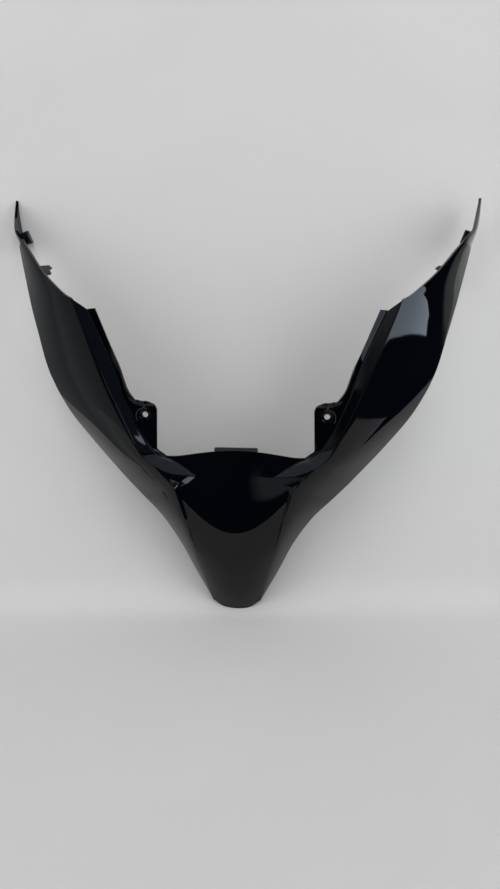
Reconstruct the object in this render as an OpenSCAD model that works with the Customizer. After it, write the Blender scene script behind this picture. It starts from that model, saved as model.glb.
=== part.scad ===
// Front fairing of a motorcycle: a V-shaped moulded panel that frames the headlight.
// Units are millimetres. X runs across, the outside faces -Y and Z is up.
// The origin is midway between the two screw seats in the lugs.

/* [Panel] */
// Width over the tips of both arms
panel_w = 454; // [430:1:480]
// Height from the bottom of the nose to the tips
panel_h = 372; // [350:1:395]
// Depth from the middle of the nose back to the tips
panel_d = 158; // [140:1:175]
// Thickness of the moulded plastic
wall = 2.5; // [2:0.1:3]
// How far the flange steps back behind the bevel edge
flange_step = 3; // [1.5:0.5:3.5]
// Forward bulge of the middle of the nose
nose_bulge = 2; // [0:0.5:4]
// Most that the side panels crown
side_crown = 5; // [3:0.5:7]

/* [Screw lugs] */
// Hole for the fixing screw in each lug
screw_hole_d = 5.2; // [4.2:0.2:6.4]
// Mouth of the dished screw seat
seat_mouth_d = 14.5; // [13:0.5:15]
// Flat floor of the dished screw seat
seat_floor_d = 10.5; // [9.5:0.5:12]
// Wall around the dished seat, behind the lug
cup_wall = 2.4; // [2:0.2:2.8]
// Height of the small gussets beside each cup
gusset_h = 6; // [4:0.5:8]

/* [Centre tab] */
// Width of the locating tab at the top of the nose
tab_w = 39; // [24:0.5:44]
// How far the tab stands above the edge of the panel
tab_rise = 2.6; // [2:0.2:5]
// Thickness of the tab
tab_t = 2; // [1.6:0.2:2.4]

/* [Inner brackets] */
// Length of the channel bracket near each tip, front to back
bracket_l = 18; // [14:1:20]
// How far the channel bracket stands in from the panel
bracket_reach = 8; // [6:0.5:10]
// Height of the channel bracket
bracket_h = 12; // [9:0.5:14]
// How far the forked hook stands in from the panel
hook_reach = 22; // [16:1:24]
// Thickness of the forked hook
hook_t = 2.4; // [1.8:0.2:3]

/* [Hidden] */

// Each rail is a list of [station, x, y, z] on the +X half, drawn for this overall size.
// Station 0 is the nose, 10 the top of the inner creases, 14 the tip of the arm.
// A station given twice is a sharp corner.
drawn_w = 454;
drawn_h = 372;
drawn_d = 158;

// Lower and rear free edge of the side panel, with the lobe behind the tip
outer_rail = [
    [0, 23.3, -2, -179.8], [1, 39, 0, -150], [2, 52.5, -1, -121], [3, 69.5, 4, -97.5],
    [4, 88, 13, -82], [6, 113.5, 21.5, -57.5], [7, 137, 29.5, -33], [8, 160, 35, -4],
    [9, 177.5, 42, 29], [10, 188, 50, 66], [12, 201.5, 68, 112], [13, 209, 80, 139],
    [13, 209, 80, 139], [13.15, 214.5, 101, 140], [13.3, 219.5, 119, 143],
    [13.5, 222, 125, 153], [14, 227, 131, 181.5]
];
// Sharp ridge between the side panel and the bevel, then the front edge up to the tip
ridge_rail = [
    [0, 21, -4, -181], [1, 28, -12, -152], [2, 36.5, -20, -118], [3, 44, -25, -88],
    [4, 52.5, -24, -59], [4, 52.5, -24, -59], [5.5, 69, -19.5, -42.5],
    [7, 85.5, -15, -26.5], [8, 103, -9, 9], [9, 117, -4, 42], [10, 139, 5, 100],
    [10, 139, 5, 100], [11, 150, 10, 106], [12, 170, 26, 121], [13, 197, 59, 145],
    [13.5, 210, 77, 156], [14, 225.5, 126, 182.5]
];
// Inner edge of the bevel: up the nose, round the end of the ledge, up the arm
bevel_rail = [
    [2, 36.5, -20, -118], [3, 41.5, -22.5, -88.5], [4, 47.5, -20, -59.5],
    [4.5, 41.5, -17, -57], [5, 35, -13, -52], [5, 35, -13, -52], [6, 55, -10, -41],
    [7, 74, -8.5, -29.5], [7.5, 85, -7.5, -12], [8, 96, -3, 13], [9, 105.5, 3, 39],
    [10, 128.5, 12, 90.5]
];
// Middle of the nose, then the free edge of the opening: top edge, lug and flange
opening_rail = [
    [0, 0, -5, -189.5], [1, 0, -16, -160], [2, 0, -24.5, -128], [3, 0, -26, -102],
    [4, 0, -21, -78], [5, 0, -9, -54], [5.5, 0, 1.5, -33], [5.5, 0, 1.5, -33],
    [5.8, 18.5, 1.5, -33.8], [6.2, 37, 0.5, -35.8], [6.5, 50, -1.2, -37.2],
    [6.8, 61, -3, -37.3], [6.8, 61, -3, -37.3], [7, 69.6, -5, -30], [7, 69.6, -5, -30],
    [7.6, 68.5, -5, 5.5], [7.6, 68.5, -5, 5.5], [7.75, 70.8, -5, 10], [7.9, 76.5, -5, 11.3],
    [7.9, 76.5, -5, 11.3], [8.1, 86, -4, 12.2], [8.25, 91, -2, 16.7], [9, 103.5, 6, 45],
    [10, 122.5, 15, 91]
];
// [station, share of the full side crown]
crown_rail = [
    [0, 0.1], [2, 0.25], [4, 0.6], [6, 0.8], [8, 1], [10, 1], [12, 0.5], [13, 0.3],
    [13.5, 0.6], [14, 0]
];
// [station, share of the full flange step]
step_rail = [[5, 0], [5.6, 1], [7, 1], [10, 0.8]];
// [station, share of the full nose bulge]
bulge_rail = [[0, 0.5], [1, 1], [2, 1], [3, 0.5], [4, 0], [10, 0]];
// [first station, last station, number of steps] for each stretch of the shell
stretches = [
    [0, 2, 7], [2, 4, 8], [4, 5, 6], [5, 5.5, 3], [5.5, 6.8, 7], [6.8, 7, 2], [7, 7.6, 5],
    [7.6, 7.9, 6], [7.9, 8.25, 5], [8.25, 10, 7], [10, 13, 10], [13, 14, 7]
];

// Stations where the make-up of the shell changes
wedge_start = 2;
ledge_tip = 5;
opening_start = 5.5;
crease_top = 10;
// Rows across the side panel, the bevel and the flange
side_rows = 8;
bevel_rows = 2;
flange_rows = 5;
// Station where the rows stop running squarely into the middle, and how long that fades
square_end = 6.3;
square_fade = 0.8;
// Share of the flange step that is slope rather than drop
step_slope = 0.2;
// Direction in which the side panel crowns, and how far in from the outer edge it peaks
crown_way = [0.6, -0.8, 0];
crown_peak = 0.6;

// Screw lugs
drawn_seat_x = 80;
lug_face_y = -5;
cup_front_y = -4;
floor_t = 2.5;
gusset_t = 2;
gusset_run = 4.5;
// How far the gussets reach into the wall of the cup
gusset_bite = 0.5;
// How far cutters run past the faces that they open, and where only a hair is wanted
cut_past = 4;
cut_hair = 0.01;

// Centre tab: how deep its root reaches below the edge, and how far back it stands
tab_root = 5;
tab_back = 1.1;
tab_corner = 0.85;

// Where each meets the inside face: [steps down from the tip, rows in from the rear edge]
bracket_place = [5, 2];
hook_place = [10, 1];
bracket_wall = 2;
// Forked hook: height of the plate, its raised root, and the fork at its end
hook_h = 9;
hook_rise = 3;
hook_root = 8;
hook_slant = 2.5;
hook_lift = 2.2;
fork_depth = 3;
fork_drop = 3;
fork_short = 1.5;
// Depth to which the roots of both sink into the panel, as a share of the wall
root_share = 0.5;

bevel_row = side_rows + bevel_rows;
last_row = bevel_row + 1 + flange_rows;
stations = concat(
    [for (s = stretches) for (k = [0:s[2] - 1]) s[0] + (s[1] - s[0]) * k / s[2]],
    [stretches[len(stretches) - 1][1]]
);
last_station = len(stations) - 1;
wedge_i = search([wedge_start], stations)[0];
ledge_i = search([ledge_tip], stations)[0];
opening_i = search([opening_start], stations)[0];
crease_i = search([crease_top], stations)[0];

// Rails at the overall size that is set; the lug faces stay where they are
wide = panel_w / drawn_w;
deep = panel_d / drawn_d;
tall = panel_h / drawn_h;
function sized(rail) = [
    for (p = rail)
        [p[0], p[1] * wide, lug_face_y + (p[2] - lug_face_y) * deep, p[3] * tall]
];
outer_edge = sized(outer_rail);
ridge = sized(ridge_rail);
bevel_edge = sized(bevel_rail);
opening = sized(opening_rail);
seat_x = drawn_seat_x * wide;

function unit(v) = v / norm(v);
function tail(p) = [for (k = [1:len(p) - 1]) p[k]];

// Slope of a rail at knot n; undef at its ends and at sharp corners
function knot_slope(rail, n) =
    n == 0 || n == len(rail) - 1 ? undef
    : rail[n - 1][0] == rail[n][0] || rail[n + 1][0] == rail[n][0] ? undef
    : let (
        h0 = rail[n][0] - rail[n - 1][0],
        h1 = rail[n + 1][0] - rail[n][0],
        d0 = (tail(rail[n]) - tail(rail[n - 1])) / h0,
        d1 = (tail(rail[n + 1]) - tail(rail[n])) / h1
    ) (d0 * h1 + d1 * h0) / (h0 + h1);

// Index of the span of a rail that holds station s
function span_of(rail, s) = max([
    for (n = [0:len(rail) - 2])
        if (rail[n + 1][0] > rail[n][0] && (rail[n][0] <= s || n == 0)) n
]);

// Point of a rail at station s, by cubic Hermite spans
function on_rail(rail, s) =
    let (
        n = span_of(rail, s),
        a = tail(rail[n]),
        b = tail(rail[n + 1]),
        h = rail[n + 1][0] - rail[n][0],
        t = (s - rail[n][0]) / h,
        d = (b - a) / h,
        k0 = knot_slope(rail, n),
        k1 = knot_slope(rail, n + 1),
        m0 = is_undef(k0) ? (is_undef(k1) ? d : 1.5 * d - 0.5 * k1) : k0,
        m1 = is_undef(k1) ? (is_undef(k0) ? d : 1.5 * d - 0.5 * k0) : k1
    )
    (2 * t * t * t - 3 * t * t + 1) * a + (t * t * t - 2 * t * t + t) * h * m0
    + (3 * t * t - 2 * t * t * t) * b + (t * t * t - t * t) * h * m1;

// Arc through three points
function bow(a, m, b, t) =
    a * 2 * (t - 0.5) * (t - 1) + m * 4 * t * (1 - t) + b * 2 * t * (t - 0.5);

// One row of points of the outside face, from the outer edge to the opening
function cross_row(s) =
    let (
        o = on_rail(outer_edge, s),
        a = on_rail(ridge, s),
        m = o + (a - o) * crown_peak + on_rail(crown_rail, s)[0] * side_crown * crown_way,
        side = [for (j = [0:side_rows]) bow(o, m, a, j / side_rows)]
    )
    s > crease_top ? side
    : let (
        b = s <= wedge_start ? a : on_rail(bevel_edge, s),
        e = on_rail(opening, s) - [0, on_rail(bulge_rail, s)[0] * nose_bulge, 0],
        drop = s <= ledge_tip ? 0 : on_rail(step_rail, s)[0] * flange_step,
        f = b + unit(e - b) * drop * step_slope + [0, drop, 0],
        square = max(0, min(1, (square_end - s) / square_fade)),
        c = (f + e) / 2 + square * [0, e[1] - f[1], e[2] - f[2]] / 4
    )
    concat(
        side,
        [for (j = [1:bevel_rows]) a + (b - a) * j / bevel_rows],
        [for (j = [0:flange_rows]) bow(f, c, e, j / flange_rows)]
    );

outside = [for (s = stations) cross_row(s)];

// Number of the last row at station index i
function end_row(i) = i <= crease_i ? last_row : side_rows;

// Row that stands in for row j where strips have no width
function true_row(i, j) =
    i <= wedge_i && j > side_rows && j <= bevel_row + 1 ? side_rows
    : i <= ledge_i && j == bevel_row + 1 ? bevel_row
    : j;

// Direction along the stations and across the rows at a point of the outside face
function along(i, j) =
    let (
        hi = min(i + 1, j > side_rows ? crease_i : last_station),
        lo = max(i - 1, 0)
    ) outside[hi][j] - outside[lo][j];
function across_wide(i, j) =
    outside[i][min(j + 3, end_row(i))] - outside[i][max(j - 3, 0)];
function across_near(i, j) =
    (j < end_row(i) ? unit(outside[i][j + 1] - outside[i][j]) : [0, 0, 0])
    + (j > 0 ? unit(outside[i][j] - outside[i][j - 1]) : [0, 0, 0]);

// Outward direction at a point; the middle of the nose stays in the plane x = 0
function outward(i, j) =
    let (
        q = i <= ledge_i ? across_wide(i, j) : across_near(i, j),
        n = unit(cross(along(i, j), q))
    ) i <= opening_i && j == last_row ? unit([0, n[1], n[2]]) : n;

inside = [
    for (i = [0:last_station])
        [for (j = [0:end_row(i)]) outside[i][j] - wall * outward(i, true_row(i, j))]
];

// Numbering of the points: outside then inside, +X half then -X half
half_count = (crease_i + 1) * (last_row + 1)
    + (last_station - crease_i) * (side_rows + 1);
function flat(i, j) = i <= crease_i ? i * (last_row + 1) + j
    : (crease_i + 1) * (last_row + 1) + (i - crease_i - 1) * (side_rows + 1) + j;
function on_seam(i, j) = j == last_row && i <= opening_i;
function id(side, skin, i, j) =
    flat(i, true_row(i, j)) + skin * half_count
    + (side == 1 && !on_seam(i, j) ? 2 * half_count : 0);

// A four-sided patch as triangles, left out where it has no area
function triangles(q) = [
    for (t = [[q[0], q[1], q[2]], [q[0], q[2], q[3]]])
        if (t[0] != t[1] && t[1] != t[2] && t[2] != t[0]) t
];
function turned(q) = [q[3], q[2], q[1], q[0]];
function skin_faces(side, skin) = [
    for (i = [0:last_station - 1])
        for (j = [0:min(end_row(i), end_row(i + 1)) - 1])
            let (
                q = [
                    id(side, skin, i, j), id(side, skin, i, j + 1),
                    id(side, skin, i + 1, j + 1), id(side, skin, i + 1, j)
                ]
            )
            each triangles(side == skin ? q : turned(q))
];

// Free edge of one half, from the bottom of the nose round to the top of the nose
free_edge = concat(
    [for (j = [last_row:-1:1]) [0, j]],
    [for (i = [0:last_station - 1]) [i, 0]],
    [for (j = [0:side_rows - 1]) [last_station, j]],
    [for (i = [last_station:-1:crease_i + 1]) [i, side_rows]],
    [for (j = [side_rows:last_row - 1]) [crease_i, j]],
    [for (i = [crease_i:-1:opening_i]) [i, last_row]]
);
function rim_faces(side) = [
    for (k = [0:len(free_edge) - 2])
        let (
            a = free_edge[k],
            b = free_edge[k + 1],
            q = [
                id(side, 0, a[0], a[1]), id(side, 0, b[0], b[1]),
                id(side, 1, b[0], b[1]), id(side, 1, a[0], a[1])
            ]
        )
        if (q[0] != q[1]) each triangles(side == 0 ? q : turned(q))
];

function flipped(p) = [-p[0], p[1], p[2]];
half_points = concat([for (r = outside) each r], [for (r = inside) each r]);

// The creased moulded shell
module shell() {
    polyhedron(
        points = concat(half_points, [for (p = half_points) flipped(p)]),
        faces = concat(
            skin_faces(0, 0), skin_faces(0, 1), skin_faces(1, 0), skin_faces(1, 1),
            rim_faces(0), rim_faces(1)
        ),
        convexity = 8
    );
}

// Cup behind the dished seat, with gussets that tie it to the lug
module cup() {
    translate([seat_x, cup_front_y, 0])
        rotate([-90, 0, 0])
            cylinder(d = seat_floor_d + 2 * cup_wall, h = floor_t - cup_front_y, $fn = 48);
    for (s = [-1, 1])
        translate([seat_x, cup_front_y, s * (seat_floor_d / 2 + cup_wall - gusset_bite)])
            rotate([0, 90, 0])
                linear_extrude(gusset_t, center = true)
                    polygon([[0, 0], [-s * gusset_run, 0], [0, gusset_h]]);
}

// Dished seat and screw hole, cut from the front
module seat_cut() {
    translate([seat_x, 0, 0])
        rotate([90, 0, 0])
            cylinder(d1 = seat_floor_d, d2 = seat_mouth_d, h = cut_hair - lug_face_y, $fn = 48);
    translate([seat_x, lug_face_y, 0])
        rotate([90, 0, 0])
            cylinder(d = seat_mouth_d, h = cut_past, $fn = 48);
    translate([seat_x, floor_t + cut_past, 0])
        rotate([90, 0, 0])
            cylinder(d = screw_hole_d, h = floor_t + 2 * cut_past - lug_face_y, $fn = 48);
}

// Locating tab at the top of the nose
module centre_tab() {
    edge = on_rail(opening, opening_start);
    tab_h = tab_root + tab_rise;
    translate([0, edge[1] + tab_back + tab_t, edge[2] - tab_root])
        rotate([90, 0, 0])
            linear_extrude(tab_t)
                polygon([
                    [-tab_w / 2, 0], [tab_w / 2, 0], [tab_w / 2, tab_h - tab_corner],
                    [tab_w / 2 - tab_corner, tab_h], [tab_corner - tab_w / 2, tab_h],
                    [-tab_w / 2, tab_h - tab_corner]
                ]);
}

// Places its child on the inside face, with +X straight out through the panel
module on_inside(place) {
    i = last_station - place[0];
    out = outward(i, place[1]);
    way = unit(cross([0, 0, 1], out));
    up = cross(out, way);
    multmatrix([for (k = [0:2]) [out[k], way[k], up[k], inside[i][place[1]][k]]])
        children();
}

// Channel bracket near the tip of an arm
module bracket() {
    on_inside(bracket_place)
        translate([-bracket_reach, -bracket_l / 2, -bracket_h / 2])
            difference() {
                cube([bracket_reach + wall * root_share, bracket_l, bracket_h]);
                translate([bracket_wall, -cut_past, bracket_wall])
                    cube([bracket_reach, bracket_l - bracket_wall + cut_past, bracket_h]);
            }
}

// Forked hook on the inside of an arm
module hook() {
    top = hook_h / 2;
    root = wall * root_share;
    on_inside(hook_place)
        translate([0, hook_t / 2, hook_lift])
            rotate([90, 0, 0])
                linear_extrude(hook_t)
                    polygon([
                        [root, top + hook_rise], [-hook_root, top + hook_rise],
                        [-hook_root - hook_slant, top], [fork_depth - hook_reach, top],
                        [-hook_reach, top - fork_drop], [fork_depth - hook_reach, 0],
                        [fork_short - hook_reach, fork_drop / 2 - top], [fork_depth - hook_reach, -top],
                        [root, -top]
                    ]);
}

module fairing() {
    color([0.02, 0.02, 0.025])
        difference() {
            union() {
                shell();
                centre_tab();
                for (s = [0, 1])
                    mirror([s, 0, 0]) {
                        cup();
                        bracket();
                        hook();
                    }
            }
            for (s = [0, 1])
                mirror([s, 0, 0])
                    seat_cut();
        }
}

fairing();
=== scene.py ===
"""Looks for the motorcycle front fairing: a smooth gloss black shell on the CAD frame."""

import math

import bmesh
import bpy
import numpy as np
from mathutils import Matrix, Vector


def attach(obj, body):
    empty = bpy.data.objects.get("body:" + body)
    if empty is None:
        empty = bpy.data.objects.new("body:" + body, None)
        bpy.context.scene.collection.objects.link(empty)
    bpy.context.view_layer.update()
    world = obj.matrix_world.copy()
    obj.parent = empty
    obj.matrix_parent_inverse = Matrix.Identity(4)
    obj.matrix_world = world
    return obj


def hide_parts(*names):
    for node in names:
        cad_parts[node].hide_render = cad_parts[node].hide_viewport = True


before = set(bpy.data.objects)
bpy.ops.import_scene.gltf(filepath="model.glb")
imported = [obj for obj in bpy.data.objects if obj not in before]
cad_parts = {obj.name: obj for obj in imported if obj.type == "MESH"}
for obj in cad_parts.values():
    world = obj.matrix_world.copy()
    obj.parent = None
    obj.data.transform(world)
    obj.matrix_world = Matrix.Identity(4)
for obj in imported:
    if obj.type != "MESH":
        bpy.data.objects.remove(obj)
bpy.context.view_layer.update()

MM = 0.001

# Sizes of the shell, those of part.scad, in millimetres
WALL = 2.5
FLANGE_STEP = 3.0
NOSE_BULGE = 2.0
SQUARE_END, SQUARE_FADE = 6.3, 0.8
STEP_SLOPE = 0.2
SIDE_CROWN, CROWN_PEAK = 5.0, 0.6
CROWN_WAY = np.array([0.6, -0.8, 0.0])

# The rails of part.scad: [station, x, y, z] on the +X half
OUTER = [
    [0, 23.3, -2, -179.8], [1, 39, 0, -150], [2, 52.5, -1, -121], [3, 69.5, 4, -97.5],
    [4, 88, 13, -82], [6, 113.5, 21.5, -57.5], [7, 137, 29.5, -33], [8, 160, 35, -4],
    [9, 177.5, 42, 29], [10, 188, 50, 66], [12, 201.5, 68, 112], [13, 209, 80, 139],
    [13, 209, 80, 139], [13.15, 214.5, 101, 140], [13.3, 219.5, 119, 143],
    [13.5, 222, 125, 153], [14, 227, 131, 181.5],
]
RIDGE = [
    [0, 21, -4, -181], [1, 28, -12, -152], [2, 36.5, -20, -118], [3, 44, -25, -88],
    [4, 52.5, -24, -59], [4, 52.5, -24, -59], [5.5, 69, -19.5, -42.5],
    [7, 85.5, -15, -26.5], [8, 103, -9, 9], [9, 117, -4, 42], [10, 139, 5, 100],
    [10, 139, 5, 100], [11, 150, 10, 106], [12, 170, 26, 121], [13, 197, 59, 145],
    [13.5, 210, 77, 156], [14, 225.5, 126, 182.5],
]
BEVEL = [
    [2, 36.5, -20, -118], [3, 41.5, -22.5, -88.5], [4, 47.5, -20, -59.5],
    [4.5, 41.5, -17, -57], [5, 35, -13, -52], [5, 35, -13, -52], [6, 55, -10, -41],
    [7, 74, -8.5, -29.5], [7.5, 85, -7.5, -12], [8, 96, -3, 13], [9, 105.5, 3, 39],
    [10, 128.5, 12, 90.5],
]
OPENING = [
    [0, 0, -5, -189.5], [1, 0, -16, -160], [2, 0, -24.5, -128], [3, 0, -26, -102],
    [4, 0, -21, -78], [5, 0, -9, -54], [5.5, 0, 1.5, -33], [5.5, 0, 1.5, -33],
    [5.8, 18.5, 1.5, -33.8], [6.2, 37, 0.5, -35.8], [6.5, 50, -1.2, -37.2],
    [6.8, 61, -3, -37.3], [6.8, 61, -3, -37.3], [7, 69.6, -5, -30], [7, 69.6, -5, -30],
    [7.6, 68.5, -5, 5.5], [7.6, 68.5, -5, 5.5], [7.75, 70.8, -5, 10], [7.9, 76.5, -5, 11.3],
    [7.9, 76.5, -5, 11.3], [8.1, 86, -4, 12.2], [8.25, 91, -2, 16.7], [9, 103.5, 6, 45],
    [10, 122.5, 15, 91],
]
# [station, share] of the side crown, of the step behind the bevel and of the nose's bulge
CROWN = [
    [0, 0.1], [2, 0.25], [4, 0.6], [6, 0.8], [8, 1], [10, 1], [12, 0.5], [13, 0.3],
    [13.5, 0.6], [14, 0],
]
STEP = [[5, 0], [5.6, 1], [7, 1], [10, 0.8]]
BULGE = [[0, 0.5], [1, 1], [2, 1], [3, 0.5], [4, 0], [10, 0]]
# [first station, last station, steps] for each stretch of the shell
STRETCHES = [
    [0, 2, 22], [2, 4, 26], [4, 5, 20], [5, 5.5, 8], [5.5, 6.8, 22], [6.8, 7, 4],
    [7, 7.6, 16], [7.6, 7.9, 12], [7.9, 8.25, 12], [8.25, 10, 34], [10, 13, 42], [13, 14, 35],
]
WEDGE_START, LEDGE_TIP, OPENING_START, CREASE_TOP = 2, 5, 5.5, 10
# Cells across the side panel, the bevel, the step and the flange
SIDE_CELLS, BEVEL_CELLS, STEP_CELLS, FLANGE_CELLS = 30, 8, 3, 18
# How far cells crowd towards the ends of a strip, where 1 is evenly spaced
EVEN, SIDE_TIGHT, STRIP_TIGHT = 1, 1.35, 1.7
# Cells to either side that the narrow wedge takes its direction from
WIDE_CELLS = 9
CREASE_R = 1.1
SAME_POINT = 1e-6


def on_rail(rail, s):
    """Point of a rail at station s, by the same cubic Hermite spans as part.scad."""
    spans = [
        n for n in range(len(rail) - 1)
        if rail[n + 1][0] > rail[n][0] and (rail[n][0] <= s or n == 0)
    ]
    n = max(spans)

    def slope(k):
        if k in (0, len(rail) - 1):
            return None
        if rail[k - 1][0] == rail[k][0] or rail[k + 1][0] == rail[k][0]:
            return None
        p, q, r = (np.array(rail[m], float) for m in (k - 1, k, k + 1))
        h0, h1 = q[0] - p[0], r[0] - q[0]
        return ((q[1:] - p[1:]) / h0 * h1 + (r[1:] - q[1:]) / h1 * h0) / (h0 + h1)

    a, b = np.array(rail[n], float), np.array(rail[n + 1], float)
    h = b[0] - a[0]
    t = (s - a[0]) / h
    d = (b[1:] - a[1:]) / h
    k0, k1 = slope(n), slope(n + 1)
    m0 = k0 if k0 is not None else (d if k1 is None else 1.5 * d - 0.5 * k1)
    m1 = k1 if k1 is not None else (d if k0 is None else 1.5 * d - 0.5 * k0)
    t2, t3 = t * t, t * t * t
    return (
        (2 * t3 - 3 * t2 + 1) * a[1:] + (t3 - 2 * t2 + t) * h * m0
        + (3 * t2 - 2 * t3) * b[1:] + (t3 - t2) * h * m1
    )


def bow(a, m, b, t):
    """Arc through three points."""
    return a * 2 * (t - 0.5) * (t - 1) + m * 4 * t * (1 - t) + b * 2 * t * (t - 0.5)


def unit(v):
    return v / max(np.linalg.norm(v), 1e-12)


def fan(n, tight):
    """n + 1 shares from 0 to 1, closer together at both ends."""
    u = np.linspace(-1, 1, n + 1)
    return (np.sign(u) * (1 - (1 - abs(u)) ** tight) + 1) / 2


def side_arc(s):
    """Ends and crown of the side panel at station s."""
    o, a = on_rail(OUTER, s), on_rail(RIDGE, s)
    return o, o + (a - o) * CROWN_PEAK + on_rail(CROWN, s)[0] * SIDE_CROWN * CROWN_WAY, a


def cross_row(s):
    """The outside face at station s, from the outer edge to the opening."""
    o, m, a = side_arc(s)
    side = [bow(o, m, a, t) for t in fan(SIDE_CELLS, SIDE_TIGHT)]
    if s > CREASE_TOP:
        return side
    b = a if s <= WEDGE_START else on_rail(BEVEL, s)
    e = on_rail(OPENING, s) - np.array([0, on_rail(BULGE, s)[0] * NOSE_BULGE, 0])
    drop = 0 if s <= LEDGE_TIP else on_rail(STEP, s)[0] * FLANGE_STEP
    f = b + unit(e - b) * drop * STEP_SLOPE + np.array([0, drop, 0])
    square = max(0, min(1, (SQUARE_END - s) / SQUARE_FADE))
    c = (f + e) / 2 + square * (e - f) * np.array([0, 1, 1]) / 4
    bevel = [a + (b - a) * t for t in fan(BEVEL_CELLS, STRIP_TIGHT)]
    step = [b + (f - b) * t for t in fan(STEP_CELLS, EVEN)]
    flange = [bow(f, c, e, t) for t in fan(FLANGE_CELLS, STRIP_TIGHT)]
    return side + bevel[1:] + step[1:] + flange[1:]


STATIONS = [
    a + (b - a) * k / n for a, b, n in STRETCHES for k in range(n)
] + [STRETCHES[-1][1]]
BEVEL_ROW = SIDE_CELLS + BEVEL_CELLS
STEP_ROW = BEVEL_ROW + STEP_CELLS
LAST_ROW = STEP_ROW + FLANGE_CELLS
WEDGE_I, LEDGE_I, OPENING_I, CREASE_I = (
    STATIONS.index(s) for s in (WEDGE_START, LEDGE_TIP, OPENING_START, CREASE_TOP)
)
LAST_I = len(STATIONS) - 1


def end_row(i):
    return LAST_ROW if i <= CREASE_I else SIDE_CELLS


def true_row(i, j):
    """Row that stands in for row j where strips have no width."""
    if i <= WEDGE_I and SIDE_CELLS < j <= STEP_ROW:
        return SIDE_CELLS
    if i <= LEDGE_I and BEVEL_ROW < j <= STEP_ROW:
        return BEVEL_ROW
    return j


def face_normals(rows, i, j):
    """Outward direction at a grid point, from the cells around it."""
    hi = min(i + 1, CREASE_I if j > SIDE_CELLS else LAST_I)
    lo = max(i - 1, 0)
    along = rows[hi][j] - rows[lo][j]
    if i <= LEDGE_I:
        # a wide stencil keeps the inside face from folding at the narrow wedge
        across = rows[i][min(j + WIDE_CELLS, end_row(i))] - rows[i][max(j - WIDE_CELLS, 0)]
    else:
        across = np.zeros(3)
        if j < end_row(i):
            across = across + unit(rows[i][j + 1] - rows[i][j])
        if j > 0:
            across = across + unit(rows[i][j] - rows[i][j - 1])
    n = np.cross(along, across)
    if i <= OPENING_I and j == LAST_ROW:
        n[0] = 0
    return unit(n)


def soften(rows):
    """Rounds the creases between the strips, so that each catches a thin highlight."""
    out = [[p.copy() for p in r] for r in rows]
    for i, r in enumerate(rows):
        if i > CREASE_I:
            continue
        for row in (SIDE_CELLS, BEVEL_ROW, STEP_ROW):
            if true_row(i, row) != row:
                continue
            lo = max(true_row(i, row - 1), 0)
            hi = row + 1
            while hi < LAST_ROW and np.linalg.norm(r[hi] - r[row]) < SAME_POINT:
                hi += 1
            a, c, b = r[lo], r[row], r[hi]
            reach = min(CREASE_R, np.linalg.norm(a - c), np.linalg.norm(b - c))
            pa, pb = c + unit(a - c) * reach, c + unit(b - c) * reach
            out[i][row] = 0.25 * pa + 0.5 * c + 0.25 * pb
    return out


def build_shell():
    """The whole moulded shell as one closed mesh, both halves, and its inside faces' numbers."""
    rows = [cross_row(s) for s in STATIONS]
    inner = [
        [rows[i][j] - WALL * face_normals(rows, i, true_row(i, j)) for j in range(end_row(i) + 1)]
        for i in range(LAST_I + 1)
    ]
    skins = [soften(rows), inner]
    verts, index = [], {}

    def vid(side, skin, i, j):
        j = true_row(i, j)
        if j == LAST_ROW and i <= OPENING_I:
            side = 0
        key = (side, skin, i, j)
        if key not in index:
            p = skins[skin][i][j] * MM
            index[key] = len(verts)
            verts.append((-p[0] if side else p[0], p[1], p[2]))
        return index[key]

    faces, inside_faces = [], []

    def add(ring, turn, inside=False):
        clean = [v for k, v in enumerate(ring) if v != ring[k - 1]]
        if len(clean) >= 3:
            if inside:
                inside_faces.append(len(faces))
            faces.append(clean[::-1] if turn else clean)

    for side in (0, 1):
        for skin in (0, 1):
            for i in range(LAST_I):
                for j in range(min(end_row(i), end_row(i + 1))):
                    ring = [vid(side, skin, i, j), vid(side, skin, i + 1, j),
                            vid(side, skin, i + 1, j + 1), vid(side, skin, i, j + 1)]
                    add(ring, side != skin, inside=skin == 1)
        edge = [(0, j) for j in range(LAST_ROW, 0, -1)]
        edge += [(i, 0) for i in range(LAST_I)]
        edge += [(LAST_I, j) for j in range(SIDE_CELLS)]
        edge += [(i, SIDE_CELLS) for i in range(LAST_I, CREASE_I, -1)]
        edge += [(CREASE_I, j) for j in range(SIDE_CELLS, LAST_ROW)]
        edge += [(i, LAST_ROW) for i in range(CREASE_I, OPENING_I - 1, -1)]
        for (i0, j0), (i1, j1) in zip(edge, edge[1:]):
            a, b = vid(side, 0, i0, j0), vid(side, 0, i1, j1)
            c, d = vid(side, 1, i1, j1), vid(side, 1, i0, j0)
            if a != b:
                add([a, d, c, b], side == 1)
    mesh = bpy.data.meshes.new("shell")
    mesh.from_pydata(verts, [], faces)
    mesh.update()
    return mesh, inside_faces


# Screw lugs, tab, bracket and hook, with the sizes of part.scad. Only the cups and gussets differ:
# the cups start 0.4 deeper in the wall and the gussets run 0.6 less, which keeps the gloss clean.
SEAT_X, CUP_FRONT, FLOOR_T = 80, -3.6, 2.5
SEAT_FLOOR_R, SEAT_MOUTH_R, HOLE_R, CUP_WALL = 5.25, 7.25, 2.6, 2.4
GUSSET_H, GUSSET_T, GUSSET_RUN, GUSSET_BITE = 6, 2, 3.9, 0.5
TAB_W, TAB_RISE, TAB_T, TAB_ROOT, TAB_BACK, TAB_CORNER = 39, 2.6, 2, 5, 1.1, 0.85
BRACKET_L, BRACKET_REACH, BRACKET_H, BRACKET_WALL = 18, 8, 12, 2
BRACKET_AT, HOOK_AT = (13 + 2 / 7, 2 / 8), (12.1, 1 / 8)
HOOK_REACH, HOOK_T, HOOK_H, HOOK_RISE, HOOK_ROOT, HOOK_SLANT = 22, 2.4, 9, 3, 8, 2.5
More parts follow.
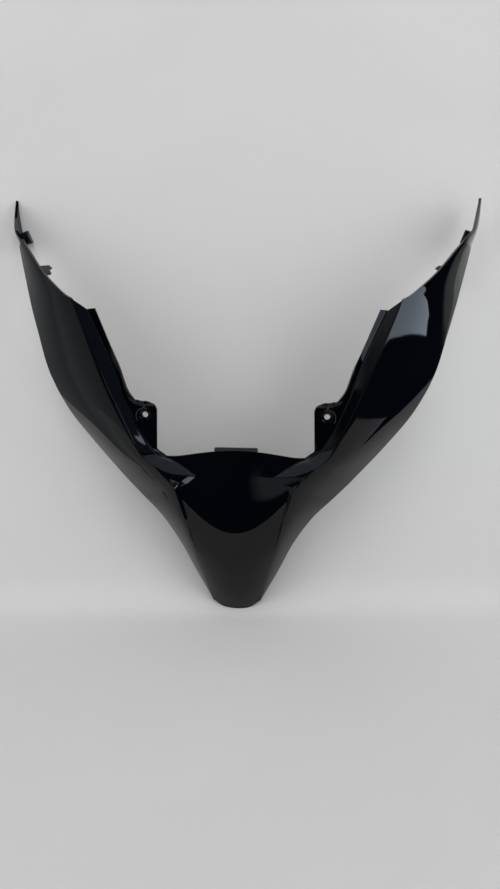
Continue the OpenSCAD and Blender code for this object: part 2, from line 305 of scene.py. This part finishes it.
HOOK_LIFT, FORK_DEPTH, FORK_DROP, FORK_SHORT = 2.2, 3, 3, 1.5
ROOT = WALL * 0.5
# Soft corners of the turned profiles: [radius past the edge named, y past its end]
CUP_CORNER = [[0, -0.6], [-0.2, -0.2], [-0.6, 0]]
HOLE_LIP = [[0, 0.3], [0.1, 0.1], [0.3, 0]]
FLOOR_CORNER = [[-1.2, 0], [-0.6, -0.1], [-0.1, -0.5], [0.25, -1.1]]
MOUTH_LIP = [[-0.35, -3.9], [-0.1, -4.4], [0.25, -4.8], [0.8, -5.05], [1.6, -6.5]]
CUT_BACK, CUT_FRONT = 9, -6.5
# Widths of rounded edges, and the angle past which an edge is rounded
PLATE_ROUND, HOOK_ROUND, GUSSET_ROUND = 0.35, 0.4, 0.25
ROUND_ANGLE, ROUND_SEGMENTS, ROUND_PROFILE = 30, 2, 0.6
# Stations or shares to either side of an anchor, for its direction
PROBE = 0.05
# Angles in degrees up to which faces shade as one
SHELL_SMOOTH, FITTING_SMOOTH, SHEET_SMOOTH = 38, 35, 60


def mesh_object(name, mesh, *materials):
    ob = bpy.data.objects.new(name, mesh)
    bpy.context.scene.collection.objects.link(ob)
    for m in materials:
        mesh.materials.append(m)
    return ob


def lathe(profile, centre, sides=96):
    """Closed mesh turned about an axis along Y; profile is [radius, y] from axis to axis."""
    bm = bmesh.new()
    rings = []
    for r, y in profile:
        if r == 0:
            rings.append([bm.verts.new((centre[0] * MM, y * MM, centre[2] * MM))])
            continue
        rings.append([
            bm.verts.new((
                (centre[0] + r * math.cos(2 * math.pi * k / sides)) * MM, y * MM,
                (centre[2] + r * math.sin(2 * math.pi * k / sides)) * MM,
            ))
            for k in range(sides)
        ])
    for a, b in zip(rings, rings[1:]):
        for k in range(sides):
            ring = [a[k % len(a)], a[(k + 1) % len(a)], b[(k + 1) % len(b)], b[k % len(b)]]
            ring = [v for n, v in enumerate(ring) if v not in ring[:n]]
            bm.faces.new(ring)
    bmesh.ops.recalc_face_normals(bm, faces=bm.faces)
    return bm


def to_mesh(bm, name):
    mesh = bpy.data.meshes.new(name)
    bm.to_mesh(mesh)
    bm.free()
    return mesh


def merged(name, bms):
    bm = bmesh.new()
    for part in bms:
        m = to_mesh(part, "part")
        bm.from_mesh(m)
        bpy.data.meshes.remove(m)
    return to_mesh(bm, name)


def cut_or_join(ob, tool, operation):
    mod = ob.modifiers.new("bool", "BOOLEAN")
    mod.operation, mod.object, mod.solver = operation, tool, "MANIFOLD"
    bpy.context.view_layer.update()
    dg = bpy.context.evaluated_depsgraph_get()
    mesh = bpy.data.meshes.new_from_object(ob.evaluated_get(dg))
    ob.modifiers.clear()
    old = ob.data
    ob.data = mesh
    bpy.data.meshes.remove(old)
    bpy.data.objects.remove(tool, do_unlink=True)


def smooth(mesh, angle):
    mesh.polygons.foreach_set("use_smooth", [True] * len(mesh.polygons))
    mesh.set_sharp_from_angle(angle=math.radians(angle))
    mesh.update()


def round_edges(bm, width):
    sharp = [
        e for e in bm.edges
        if len(e.link_faces) == 2 and e.calc_face_angle(0) > math.radians(ROUND_ANGLE)
    ]
    bmesh.ops.bevel(
        bm, geom=sharp, offset=width * MM, segments=ROUND_SEGMENTS, affect="EDGES",
        profile=ROUND_PROFILE, clamp_overlap=True,
    )
    return bm


def prism(outline, thickness, place):
    """Flat outline [(u, v)] swept by thickness; place turns (u, v, w) into x, y, z."""
    bm = bmesh.new()
    low = [bm.verts.new([c * MM for c in place(u, v, 0)]) for u, v in outline]
    top = [bm.verts.new([c * MM for c in place(u, v, thickness)]) for u, v in outline]
    bm.faces.new(low[::-1])
    bm.faces.new(top)
    n = len(outline)
    for k in range(n):
        bm.faces.new([low[k], low[(k + 1) % n], top[(k + 1) % n], top[k]])
    bmesh.ops.recalc_face_normals(bm, faces=bm.faces)
    return bm


def inside_anchor(s, share):
    """Point of the inside face of an arm, and the outward direction there."""
    def at(q, t):
        return bow(*side_arc(q), t)
    n = unit(np.cross(at(s + PROBE, share) - at(s - PROBE, share),
                      at(s, share + PROBE) - at(s, share - PROBE)))
    return at(s, share) - WALL * n, n


def on_arm(side, s, share):
    """Maps (out, along, up) at an anchor on one arm to x, y, z."""
    p, out = inside_anchor(s, share)
    along = unit(np.cross((0, 0, 1), out))
    up = np.cross(out, along)

    def place(u, v, w):
        q = p + out * u + along * v + up * w
        return [-q[0] if side else q[0], q[1], q[2]]
    return place


def bracket_mesh(side):
    place = on_arm(side, *BRACKET_AT)
    half_l, half_h = BRACKET_L / 2, BRACKET_H / 2
    r, w = BRACKET_REACH, BRACKET_WALL
    slabs = [
        ((-r, -half_l, -half_h), (-r + w, half_l, half_h)),
        ((-r, -half_l, -half_h), (ROOT, half_l, -half_h + w)),
        ((-r, half_l - w, -half_h), (ROOT, half_l, half_h)),
    ]
    bms = []
    for lo, hi in slabs:
        outline = [(lo[0], lo[1]), (hi[0], lo[1]), (hi[0], hi[1]), (lo[0], hi[1])]
        bm = prism(outline, hi[2] - lo[2], lambda u, v, t, z=lo[2]: place(u, v, z + t))
        bms.append(round_edges(bm, PLATE_ROUND))
    return merged("bracket", bms)


def hook_mesh(side):
    place = on_arm(side, *HOOK_AT)
    top, fork = HOOK_H / 2, FORK_DEPTH - HOOK_REACH
    outline = [
        (ROOT, top + HOOK_RISE), (-HOOK_ROOT, top + HOOK_RISE), (-HOOK_ROOT - HOOK_SLANT, top),
        (fork, top), (-HOOK_REACH, top - FORK_DROP), (fork, 0),
        (FORK_SHORT - HOOK_REACH, FORK_DROP / 2 - top), (fork, -top), (ROOT, -top),
    ]
    bm = prism(outline, HOOK_T, lambda u, w, t: place(u, t - HOOK_T / 2, w + HOOK_LIFT))
    return to_mesh(round_edges(bm, HOOK_ROUND), "hook")


def tab_mesh():
    h, w, c = TAB_ROOT + TAB_RISE, TAB_W / 2, TAB_CORNER
    edge = on_rail(OPENING, OPENING_START)
    outline = [(-w, 0), (w, 0), (w, h - c), (w - c, h), (-w + c, h), (-w, h - c)]
    bm = prism(outline, TAB_T,
               lambda u, v, t: (u, edge[1] + TAB_BACK + t, edge[2] - TAB_ROOT + v))
    return to_mesh(round_edges(bm, PLATE_ROUND), "tab")


def gusset(x, way):
    """Triangular rib above or below a cup, by way."""
    base = way * (SEAT_FLOOR_R + CUP_WALL - GUSSET_BITE)
    outline = [(0, 0), (way * GUSSET_RUN, 0), (0, GUSSET_H)]
    bm = prism(outline, GUSSET_T,
               lambda u, v, t: (x - GUSSET_T / 2 + t, CUP_FRONT + v, base + u))
    return round_edges(bm, GUSSET_ROUND)


def past(r, corner, y=0):
    """A soft corner at radius r and at y."""
    return [(r + dr, y + dy) for dr, dy in corner]


def add_lugs(shell):
    """Joins the cups and gussets to the shell, then cuts the seats and screw holes."""
    r = SEAT_FLOOR_R + CUP_WALL
    cup = [(0, CUP_FRONT), (r, CUP_FRONT), *past(r, CUP_CORNER, FLOOR_T), (0, FLOOR_T)]
    seat = [
        (0, CUT_BACK), (HOLE_R, CUT_BACK), *past(HOLE_R, HOLE_LIP),
        *past(SEAT_FLOOR_R, FLOOR_CORNER), *past(SEAT_MOUTH_R, MOUTH_LIP), (0, CUT_FRONT),
    ]
    joined, cutters = [], []
    for x in (SEAT_X, -SEAT_X):
        joined += [lathe(cup, (x, 0, 0)), gusset(x, -1), gusset(x, 1)]
        cutters.append(lathe(seat, (x, 0, 0)))
    for k, part in enumerate(joined):
        tool = mesh_object(f"cup_{k}", to_mesh(part, "cup"), gloss, moulded)
        tool.data.polygons.foreach_set("material_index", [1] * len(tool.data.polygons))
        cut_or_join(shell, tool, "UNION")
    for k, part in enumerate(cutters):
        tool = mesh_object(f"cutter_{k}", to_mesh(part, "cutter"), gloss)
        cut_or_join(shell, tool, "DIFFERENCE")


def node_setup(name):
    mat = bpy.data.materials.new(name)
    mat.use_nodes = True
    nt = mat.node_tree
    return mat, nt, nt.nodes["Principled BSDF"]


def add_node(nt, kind, **values):
    n = nt.nodes.new(kind)
    for k, v in values.items():
        if k in n.inputs:
            n.inputs[k].default_value = v
        else:
            setattr(n, k, v)
    return n


def ranged(nt, source, lo, hi, a, b):
    n = add_node(nt, "ShaderNodeMapRange", clamp=True)
    for name, v in (("From Min", lo), ("From Max", hi), ("To Min", a), ("To Max", b)):
        n.inputs[name].default_value = v
    nt.links.new(source, n.inputs["Value"])
    return n.outputs["Result"]


def colour_mix(nt, share, a, b):
    n = add_node(nt, "ShaderNodeMix", data_type="RGBA")
    n.inputs["A"].default_value = (*a, 1)
    n.inputs["B"].default_value = (*b, 1)
    nt.links.new(share, n.inputs["Factor"])
    return n.outputs["Result"]


def noises(nt, *settings):
    """The values of noise textures on the object's own coordinates."""
    pos = add_node(nt, "ShaderNodeTexCoord").outputs["Object"]
    values = []
    for inputs in settings:
        n = add_node(nt, "ShaderNodeTexNoise", **inputs)
        nt.links.new(pos, n.inputs["Vector"])
        values.append(n.outputs["Fac"])
    return values


def bump(nt, bsdf, *layers):
    """Bumps laid over each other, each [height, strength, distance]."""
    below = None
    for height, strength, distance in layers:
        n = add_node(nt, "ShaderNodeBump", Strength=strength, Distance=distance)
        nt.links.new(height, n.inputs["Height"])
        if below is not None:
            nt.links.new(below, n.inputs["Normal"])
        below = n.outputs["Normal"]
    nt.links.new(below, bsdf.inputs["Normal"])


def switch(nt, when, off, on):
    """One shader where when is 0, the other where it is 1."""
    n = nt.nodes.new("ShaderNodeMixShader")
    for slot, source in enumerate((when, off, on)):
        nt.links.new(source, n.inputs[slot])
    return n.outputs[0]


# Plastic: bands of noise that show as specks, as a film of dust and as patches of roughness
SPECK_BAND, FILM_BAND, PATCH_BAND = (0.68, 0.74), (0.35, 0.75), (0.3, 0.75)
FILM_SHARE = 0.3
WAVE_DEPTH, GRAIN_DEPTH = 0.001, 0.0002


def plastic(name, base, dusty, dust, rough, rough_spread, wave, wave_scale, grain, grain_scale,
            sheen=0.5):
    """Moulded black plastic: slow waves, fine grain, patchy roughness and sparse dust."""
    mat, nt, bsdf = node_setup(name)
    patch, specks, waves, fine = noises(
        nt,
        dict(Scale=14, Detail=6, Roughness=0.6),
        dict(Scale=900, Detail=2, Roughness=0.7),
        dict(Scale=wave_scale, Detail=2, Roughness=0.4),
        dict(Scale=grain_scale, Detail=3, Roughness=0.6),
    )
    both = add_node(nt, "ShaderNodeMath", operation="MAXIMUM")
    nt.links.new(ranged(nt, specks, *SPECK_BAND, 0, dust), both.inputs[0])
    nt.links.new(ranged(nt, patch, *FILM_BAND, 0, dust * FILM_SHARE), both.inputs[1])
    nt.links.new(colour_mix(nt, both.outputs[0], base, dusty), bsdf.inputs["Base Color"])
    nt.links.new(ranged(nt, patch, *PATCH_BAND, rough, rough + rough_spread),
                 bsdf.inputs["Roughness"])
    bump(nt, bsdf, [waves, wave, WAVE_DEPTH], [fine, grain, GRAIN_DEPTH])
    bsdf.inputs["IOR"].default_value = 1.5
    bsdf.inputs["Specular IOR Level"].default_value = sheen
    return mat


gloss = plastic(
    "gloss_black", (0.0008, 0.0010, 0.0013), (0.018, 0.019, 0.021), dust=0.16,
    rough=0.03, rough_spread=0.02, wave=0.010, wave_scale=40, grain=0.02, grain_scale=1500,
    sheen=0.31)
moulded = plastic(
    "moulded_black", (0.012, 0.012, 0.013), (0.07, 0.07, 0.07), dust=0.5,
    rough=0.38, rough_spread=0.15, wave=0.05, wave_scale=60, grain=0.35, grain_scale=2500)
dull = plastic(
    "dull_grey_black", (0.045, 0.045, 0.044), (0.12, 0.12, 0.115), dust=0.6,
    rough=0.5, rough_spread=0.15, wave=0.05, wave_scale=60, grain=0.35, grain_scale=2500)

shell_mesh, inside_ids = build_shell()
panel = mesh_object("panel", shell_mesh, gloss, moulded)
for k in inside_ids:
    shell_mesh.polygons[k].material_index = 1
add_lugs(panel)
smooth(panel.data, SHELL_SMOOTH)
pieces = [panel, mesh_object("centre_tab", tab_mesh(), moulded)]
for side, word in enumerate(("right", "left")):
    pieces.append(mesh_object(f"bracket_{word}", bracket_mesh(side), moulded))
    pieces.append(mesh_object(f"hook_{word}", hook_mesh(side), dull))
for ob in pieces[1:]:
    smooth(ob.data, FITTING_SMOOTH)
for ob in pieces:
    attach(ob, "root")
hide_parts("fairing")


# Backdrop, in metres: a sheet that leans with the tips and the nose, and runs out over a level
# floor. The gloss shows only the part of it between the near edges. Their places beside the wall
# show in the arms, as lines where the sheet gives way to the room.
LEAN = math.radians(19.6)
FOOT = Vector((0, 0.006, -0.1905))
WALL_TURN = Matrix.Rotation(math.radians(3.5), 3, "Z")
WALL_UP = WALL_TURN @ Vector((0, math.sin(LEAN), math.cos(LEAN)))
FLOOR_OUT = WALL_TURN @ Vector((0, -1, 0))
COVE, COVE_STEPS = 0.03, 12
WALL_RISES = [1.9, 1.2, 0.7, 0.4, 0.2, 0.1, 0.05]
FLOOR_NEAR, FLOOR_FAR = 0.51, 1.6
FLOOR_RUNS = [0.05, 0.1, 0.2, 0.35, FLOOR_NEAR]
FRONT_RUNS = [FLOOR_NEAR, 0.9, FLOOR_FAR]
SHEET_SIDE = 1.6
WALL_LEFT, WALL_RIGHT = -0.2, 0.305
FLOOR_LEFT, FLOOR_RIGHT, FLOOR_FLARE = -0.55, 0.43, 0.2
SHEET_POINTS = 25
PAPER = (0.66, 0.66, 0.65)
PAPER_SHADE = 0.95
# [height, distance] of the paper's slow waves and its tooth
PAPER_WAVES, PAPER_TOOTH = [0.12, 0.02], [0.08, 0.001]


def paper():
    mat, nt, bsdf = node_setup("paper")
    soft, fine = noises(
        nt,
        dict(Scale=3.5, Detail=5, Roughness=0.55, Distortion=0.6),
        dict(Scale=260, Detail=3),
    )
    shade = tuple(c * PAPER_SHADE for c in PAPER)
    share = ranged(nt, soft, 0.3, 0.7, 0, 1)
    nt.links.new(colour_mix(nt, share, shade, PAPER), bsdf.inputs["Base Color"])
    bump(nt, bsdf, [soft, *PAPER_WAVES], [fine, *PAPER_TOOTH])
    bsdf.inputs["Roughness"].default_value = 0.75
    # seen from behind, the sheet is clear, so that the part shows from every side
    back = add_node(nt, "ShaderNodeNewGeometry").outputs["Backfacing"]
    clear = add_node(nt, "ShaderNodeBsdfTransparent").outputs[0]
    nt.links.new(switch(nt, back, bsdf.outputs[0], clear),
                 nt.nodes["Material Output"].inputs["Surface"])
    return mat


def left_edge(along):
    return WALL_LEFT if along < 0 else FLOOR_LEFT


def right_edge(along):
    return WALL_RIGHT if along < 0 else FLOOR_RIGHT + FLOOR_FLARE * along


def sheet(name, line, span):
    """One sheet through the points of line, each (point, distance along), over a span of x."""
    bm = bmesh.new()
    grid = []
    for p, along in line:
        grid.append([
            bm.verts.new(FOOT + p + WALL_TURN @ Vector((x, 0, 0)))
            for x in np.linspace(*span(along), SHEET_POINTS)
        ])
    for a, b in zip(grid, grid[1:]):
        for k in range(len(a) - 1):
            bm.faces.new([a[k], b[k], b[k + 1], a[k + 1]])
    mesh = to_mesh(bm, name)
    smooth(mesh, SHEET_SMOOTH)
    return mesh


def sweep():
    """Wall and floor with a soft cove at the foot: what the gloss shows first, then the rest."""
    line = [(WALL_UP * h, -h) for h in WALL_RISES]
    for k in range(COVE_STEPS + 1):
        a = k / COVE_STEPS
        line.append((WALL_UP * COVE * (1 - a) ** 2 + FLOOR_OUT * COVE * a * a, COVE * (2 * a - 1)))
    line += [(FLOOR_OUT * d, d) for d in FLOOR_RUNS]
    front = [(FLOOR_OUT * d, d) for d in FRONT_RUNS]
    return [
        sheet("sweep", line, lambda along: (left_edge(along), right_edge(along))),
        sheet("sweep_side", line, lambda along: (right_edge(along), SHEET_SIDE)),
        sheet("sweep_left", line, lambda along: (-SHEET_SIDE, left_edge(along))),
        sheet("sweep_front", front, lambda along: (-SHEET_SIDE, SHEET_SIDE)),
    ]


paper_white = paper()
for k, mesh in enumerate(sweep()):
    backdrop = mesh_object(f"backdrop_{k}", mesh, paper_white)
    backdrop.visible_glossy = k == 0


# Pieces of window near the part, on upright planes, that only the gloss shows: for the right arm
# (distance along from a place in plan, height), and for the right flange (x, height)
ARM_PLANE, ARM_PLANE_WAY = (0.300, -0.260), (0.447, 0.894)
ARM_WINDOW = [(-40, 60), (155, 22), (365, -8), (325, 55), (272, 95), (196, 162), (-40, 190)]
FLANGE_PLANE_Y = -0.240
FLANGE_WINDOW = [(112, 162), (142, 162), (168, 84), (154, 76), (122, 118)]
ARM_LIGHT, FLANGE_LIGHT = 4.2, 1.8
WINDOW_TINT = (0.72, 0.84, 1.0)


def light_card(name, points, strength):
    bm = bmesh.new()
    bm.faces.new([bm.verts.new(p) for p in points])
    mat, nt, bsdf = node_setup(name)
    light = add_node(nt, "ShaderNodeEmission", Color=(*WINDOW_TINT, 1), Strength=strength)
    nt.links.new(light.outputs[0], nt.nodes["Material Output"].inputs["Surface"])
    nt.nodes.remove(bsdf)
    card = mesh_object(name, to_mesh(bm, name), mat)
    card.visible_camera = card.visible_diffuse = card.visible_shadow = False
    card.visible_transmission = False


light_card("arm_window", [
    (ARM_PLANE[0] + ARM_PLANE_WAY[0] * MM * a, ARM_PLANE[1] + ARM_PLANE_WAY[1] * MM * a, MM * z)
    for a, z in ARM_WINDOW], ARM_LIGHT)
light_card("flange_window", [(MM * x, FLANGE_PLANE_Y, MM * z) for x, z in FLANGE_WINDOW],
           FLANGE_LIGHT)


# The room that the gloss shows: [corners as (azimuth, elevation), colour, soft edge], where
# azimuth 0 is straight out of the front and grows towards +X. A later patch covers an earlier one.
ROOM = [
    [[(-178, -50), (-48, -50), (-48, 13), (-178, 16)], (0.38, 0.40, 0.42), 0.1],
    [[(-178, -50), (-97, -50), (-97, 20), (-178, 20)], (0.22, 0.23, 0.24), 0.15],
    [[(40, 18), (110, 18), (110, 33), (40, 33)], (0.08, 0.12, 0.19), 0.1],
    [[(114, -12), (176, -12), (176, 22), (114, 22)], (0.27, 0.28, 0.30), 0.06],
    [[(-160, 22.7), (-63, 22.7), (-50, 58), (-125, 70)], (0.54, 0.63, 0.73), 0.03],
    [[(40, 33.5), (150, 33.5), (130, 78), (50, 78)], (0.52, 0.63, 0.74), 0.05],
    [[(-46, 2), (-20, 2), (-22, 38), (-45, 40)], (0.38, 0.42, 0.46), 0.15],
    [[(23, 9), (36, 9), (35, 21), (24, 20)], (3.0, 3.5, 4.2), 0.02],
]
ROOM_DARK = (0.004, 0.012, 0.035)
# What the camera sees past the sheet, and the light on dull surfaces
PALE, FILL = (0.58, 0.58, 0.58), (0.30, 0.305, 0.31)


def bearing(azimuth, elevation):
    a, e = math.radians(azimuth), math.radians(elevation)
    return Vector((math.sin(a) * math.cos(e), -math.cos(a) * math.cos(e), math.sin(e)))


def patch_mask(nt, way, corners, soft):
    """1 inside a patch of sky with these corners, 0 outside, over a soft edge."""
    middle = sum((bearing(*c) for c in corners), Vector())
    result = None
    for a, b in zip(corners, corners[1:] + corners[:1]):
        inward = bearing(*a).cross(bearing(*b)).normalized()
        inward *= math.copysign(1, inward.dot(middle))
        dot = add_node(nt, "ShaderNodeVectorMath", operation="DOT_PRODUCT")
        nt.links.new(way, dot.inputs[0])
        dot.inputs[1].default_value = inward
        side = ranged(nt, dot.outputs["Value"], -soft / 2, soft / 2, 0, 1)
        if result is None:
            result = side
            continue
        both = add_node(nt, "ShaderNodeMath", operation="MULTIPLY")
        nt.links.new(result, both.inputs[0])
        nt.links.new(side, both.inputs[1])
        result = both.outputs[0]
    return result


def world_light():
    """A pale background, plain light for dull surfaces, and the room for what is glossy."""
    world = bpy.data.worlds.new("room")
    world.use_nodes = True
    nt = world.node_tree
    nt.nodes.clear()
    way = nt.nodes.new("ShaderNodeTexCoord").outputs["Generated"]
    seen = None
    for corners, colour, soft in ROOM:
        n = add_node(nt, "ShaderNodeMix", data_type="RGBA")
        nt.links.new(patch_mask(nt, way, corners, soft), n.inputs["Factor"])
        if seen is None:
            n.inputs["A"].default_value = (*ROOM_DARK, 1)
        else:
            nt.links.new(seen, n.inputs["A"])
        n.inputs["B"].default_value = (*colour, 1)
        seen = n.outputs["Result"]
    room = add_node(nt, "ShaderNodeBackground", Strength=1.0)
    nt.links.new(seen, room.inputs["Color"])
    fill, pale = (
        add_node(nt, "ShaderNodeBackground", Color=(*c, 1), Strength=1.0).outputs[0]
        for c in (FILL, PALE)
    )
    path = nt.nodes.new("ShaderNodeLightPath")
    unseen = switch(nt, path.outputs["Is Glossy Ray"], fill, room.outputs[0])
    out = nt.nodes.new("ShaderNodeOutputWorld")
    nt.links.new(switch(nt, path.outputs["Is Camera Ray"], unseen, pale), out.inputs["Surface"])
    bpy.context.scene.world = world


# Soft lamps that aim at the origin and don't show in the gloss: [name, place, size, watts]
LAMPS = [
    ["top", (0, -0.9, 1.8), (1.6, 1.0), 14],
    ["left", (-1.3, -0.7, 0.5), (1.0, 1.2), 8],
    ["right", (1.3, -0.7, 0.5), (1.0, 1.2), 9],
]


def lamp(name, place, size, power):
    data = bpy.data.lights.new(name, "AREA")
    data.shape, data.size, data.size_y = "RECTANGLE", size[0], size[1]
    data.energy = power
    ob = bpy.data.objects.new(name, data)
    bpy.context.scene.collection.objects.link(ob)
    ob.location = place
    ob.rotation_mode = "QUATERNION"
    ob.rotation_quaternion = (-Vector(place)).to_track_quat("-Z", "Y")
    ob.visible_glossy = False


world_light()
for row in LAMPS:
    lamp(*row)

# Camera: the photograph's, solved from the mirrored pairs of points
CAMERA_AT = Vector((0.0482, -0.5804, 0.1630))
YAW, PITCH, ROLL = math.radians(3.5), math.radians(18.0), math.radians(-0.15)
# Width of the film in mm, and in pixels the focal length and the picture's longer side
SENSOR, FOCAL_PX, PICTURE_PX = 36, 690, 889
ahead = Vector((-math.sin(YAW) * math.cos(PITCH), math.cos(YAW) * math.cos(PITCH),
                -math.sin(PITCH)))
across = Vector((math.cos(YAW), math.sin(YAW), 0))
above = across.cross(ahead)
right = across * math.cos(ROLL) + above * math.sin(ROLL)
upward = -across * math.sin(ROLL) + above * math.cos(ROLL)
cam_data = bpy.data.cameras.new("camera")
cam_data.sensor_width = SENSOR
cam_data.lens = SENSOR * FOCAL_PX / PICTURE_PX
camera = bpy.data.objects.new("camera", cam_data)
bpy.context.scene.collection.objects.link(camera)
turn = Matrix((right, upward, -ahead)).transposed()
camera.matrix_world = Matrix.Translation(CAMERA_AT) @ turn.to_4x4()
bpy.context.scene.camera = camera
bpy.context.scene.view_settings.view_transform = "Standard"
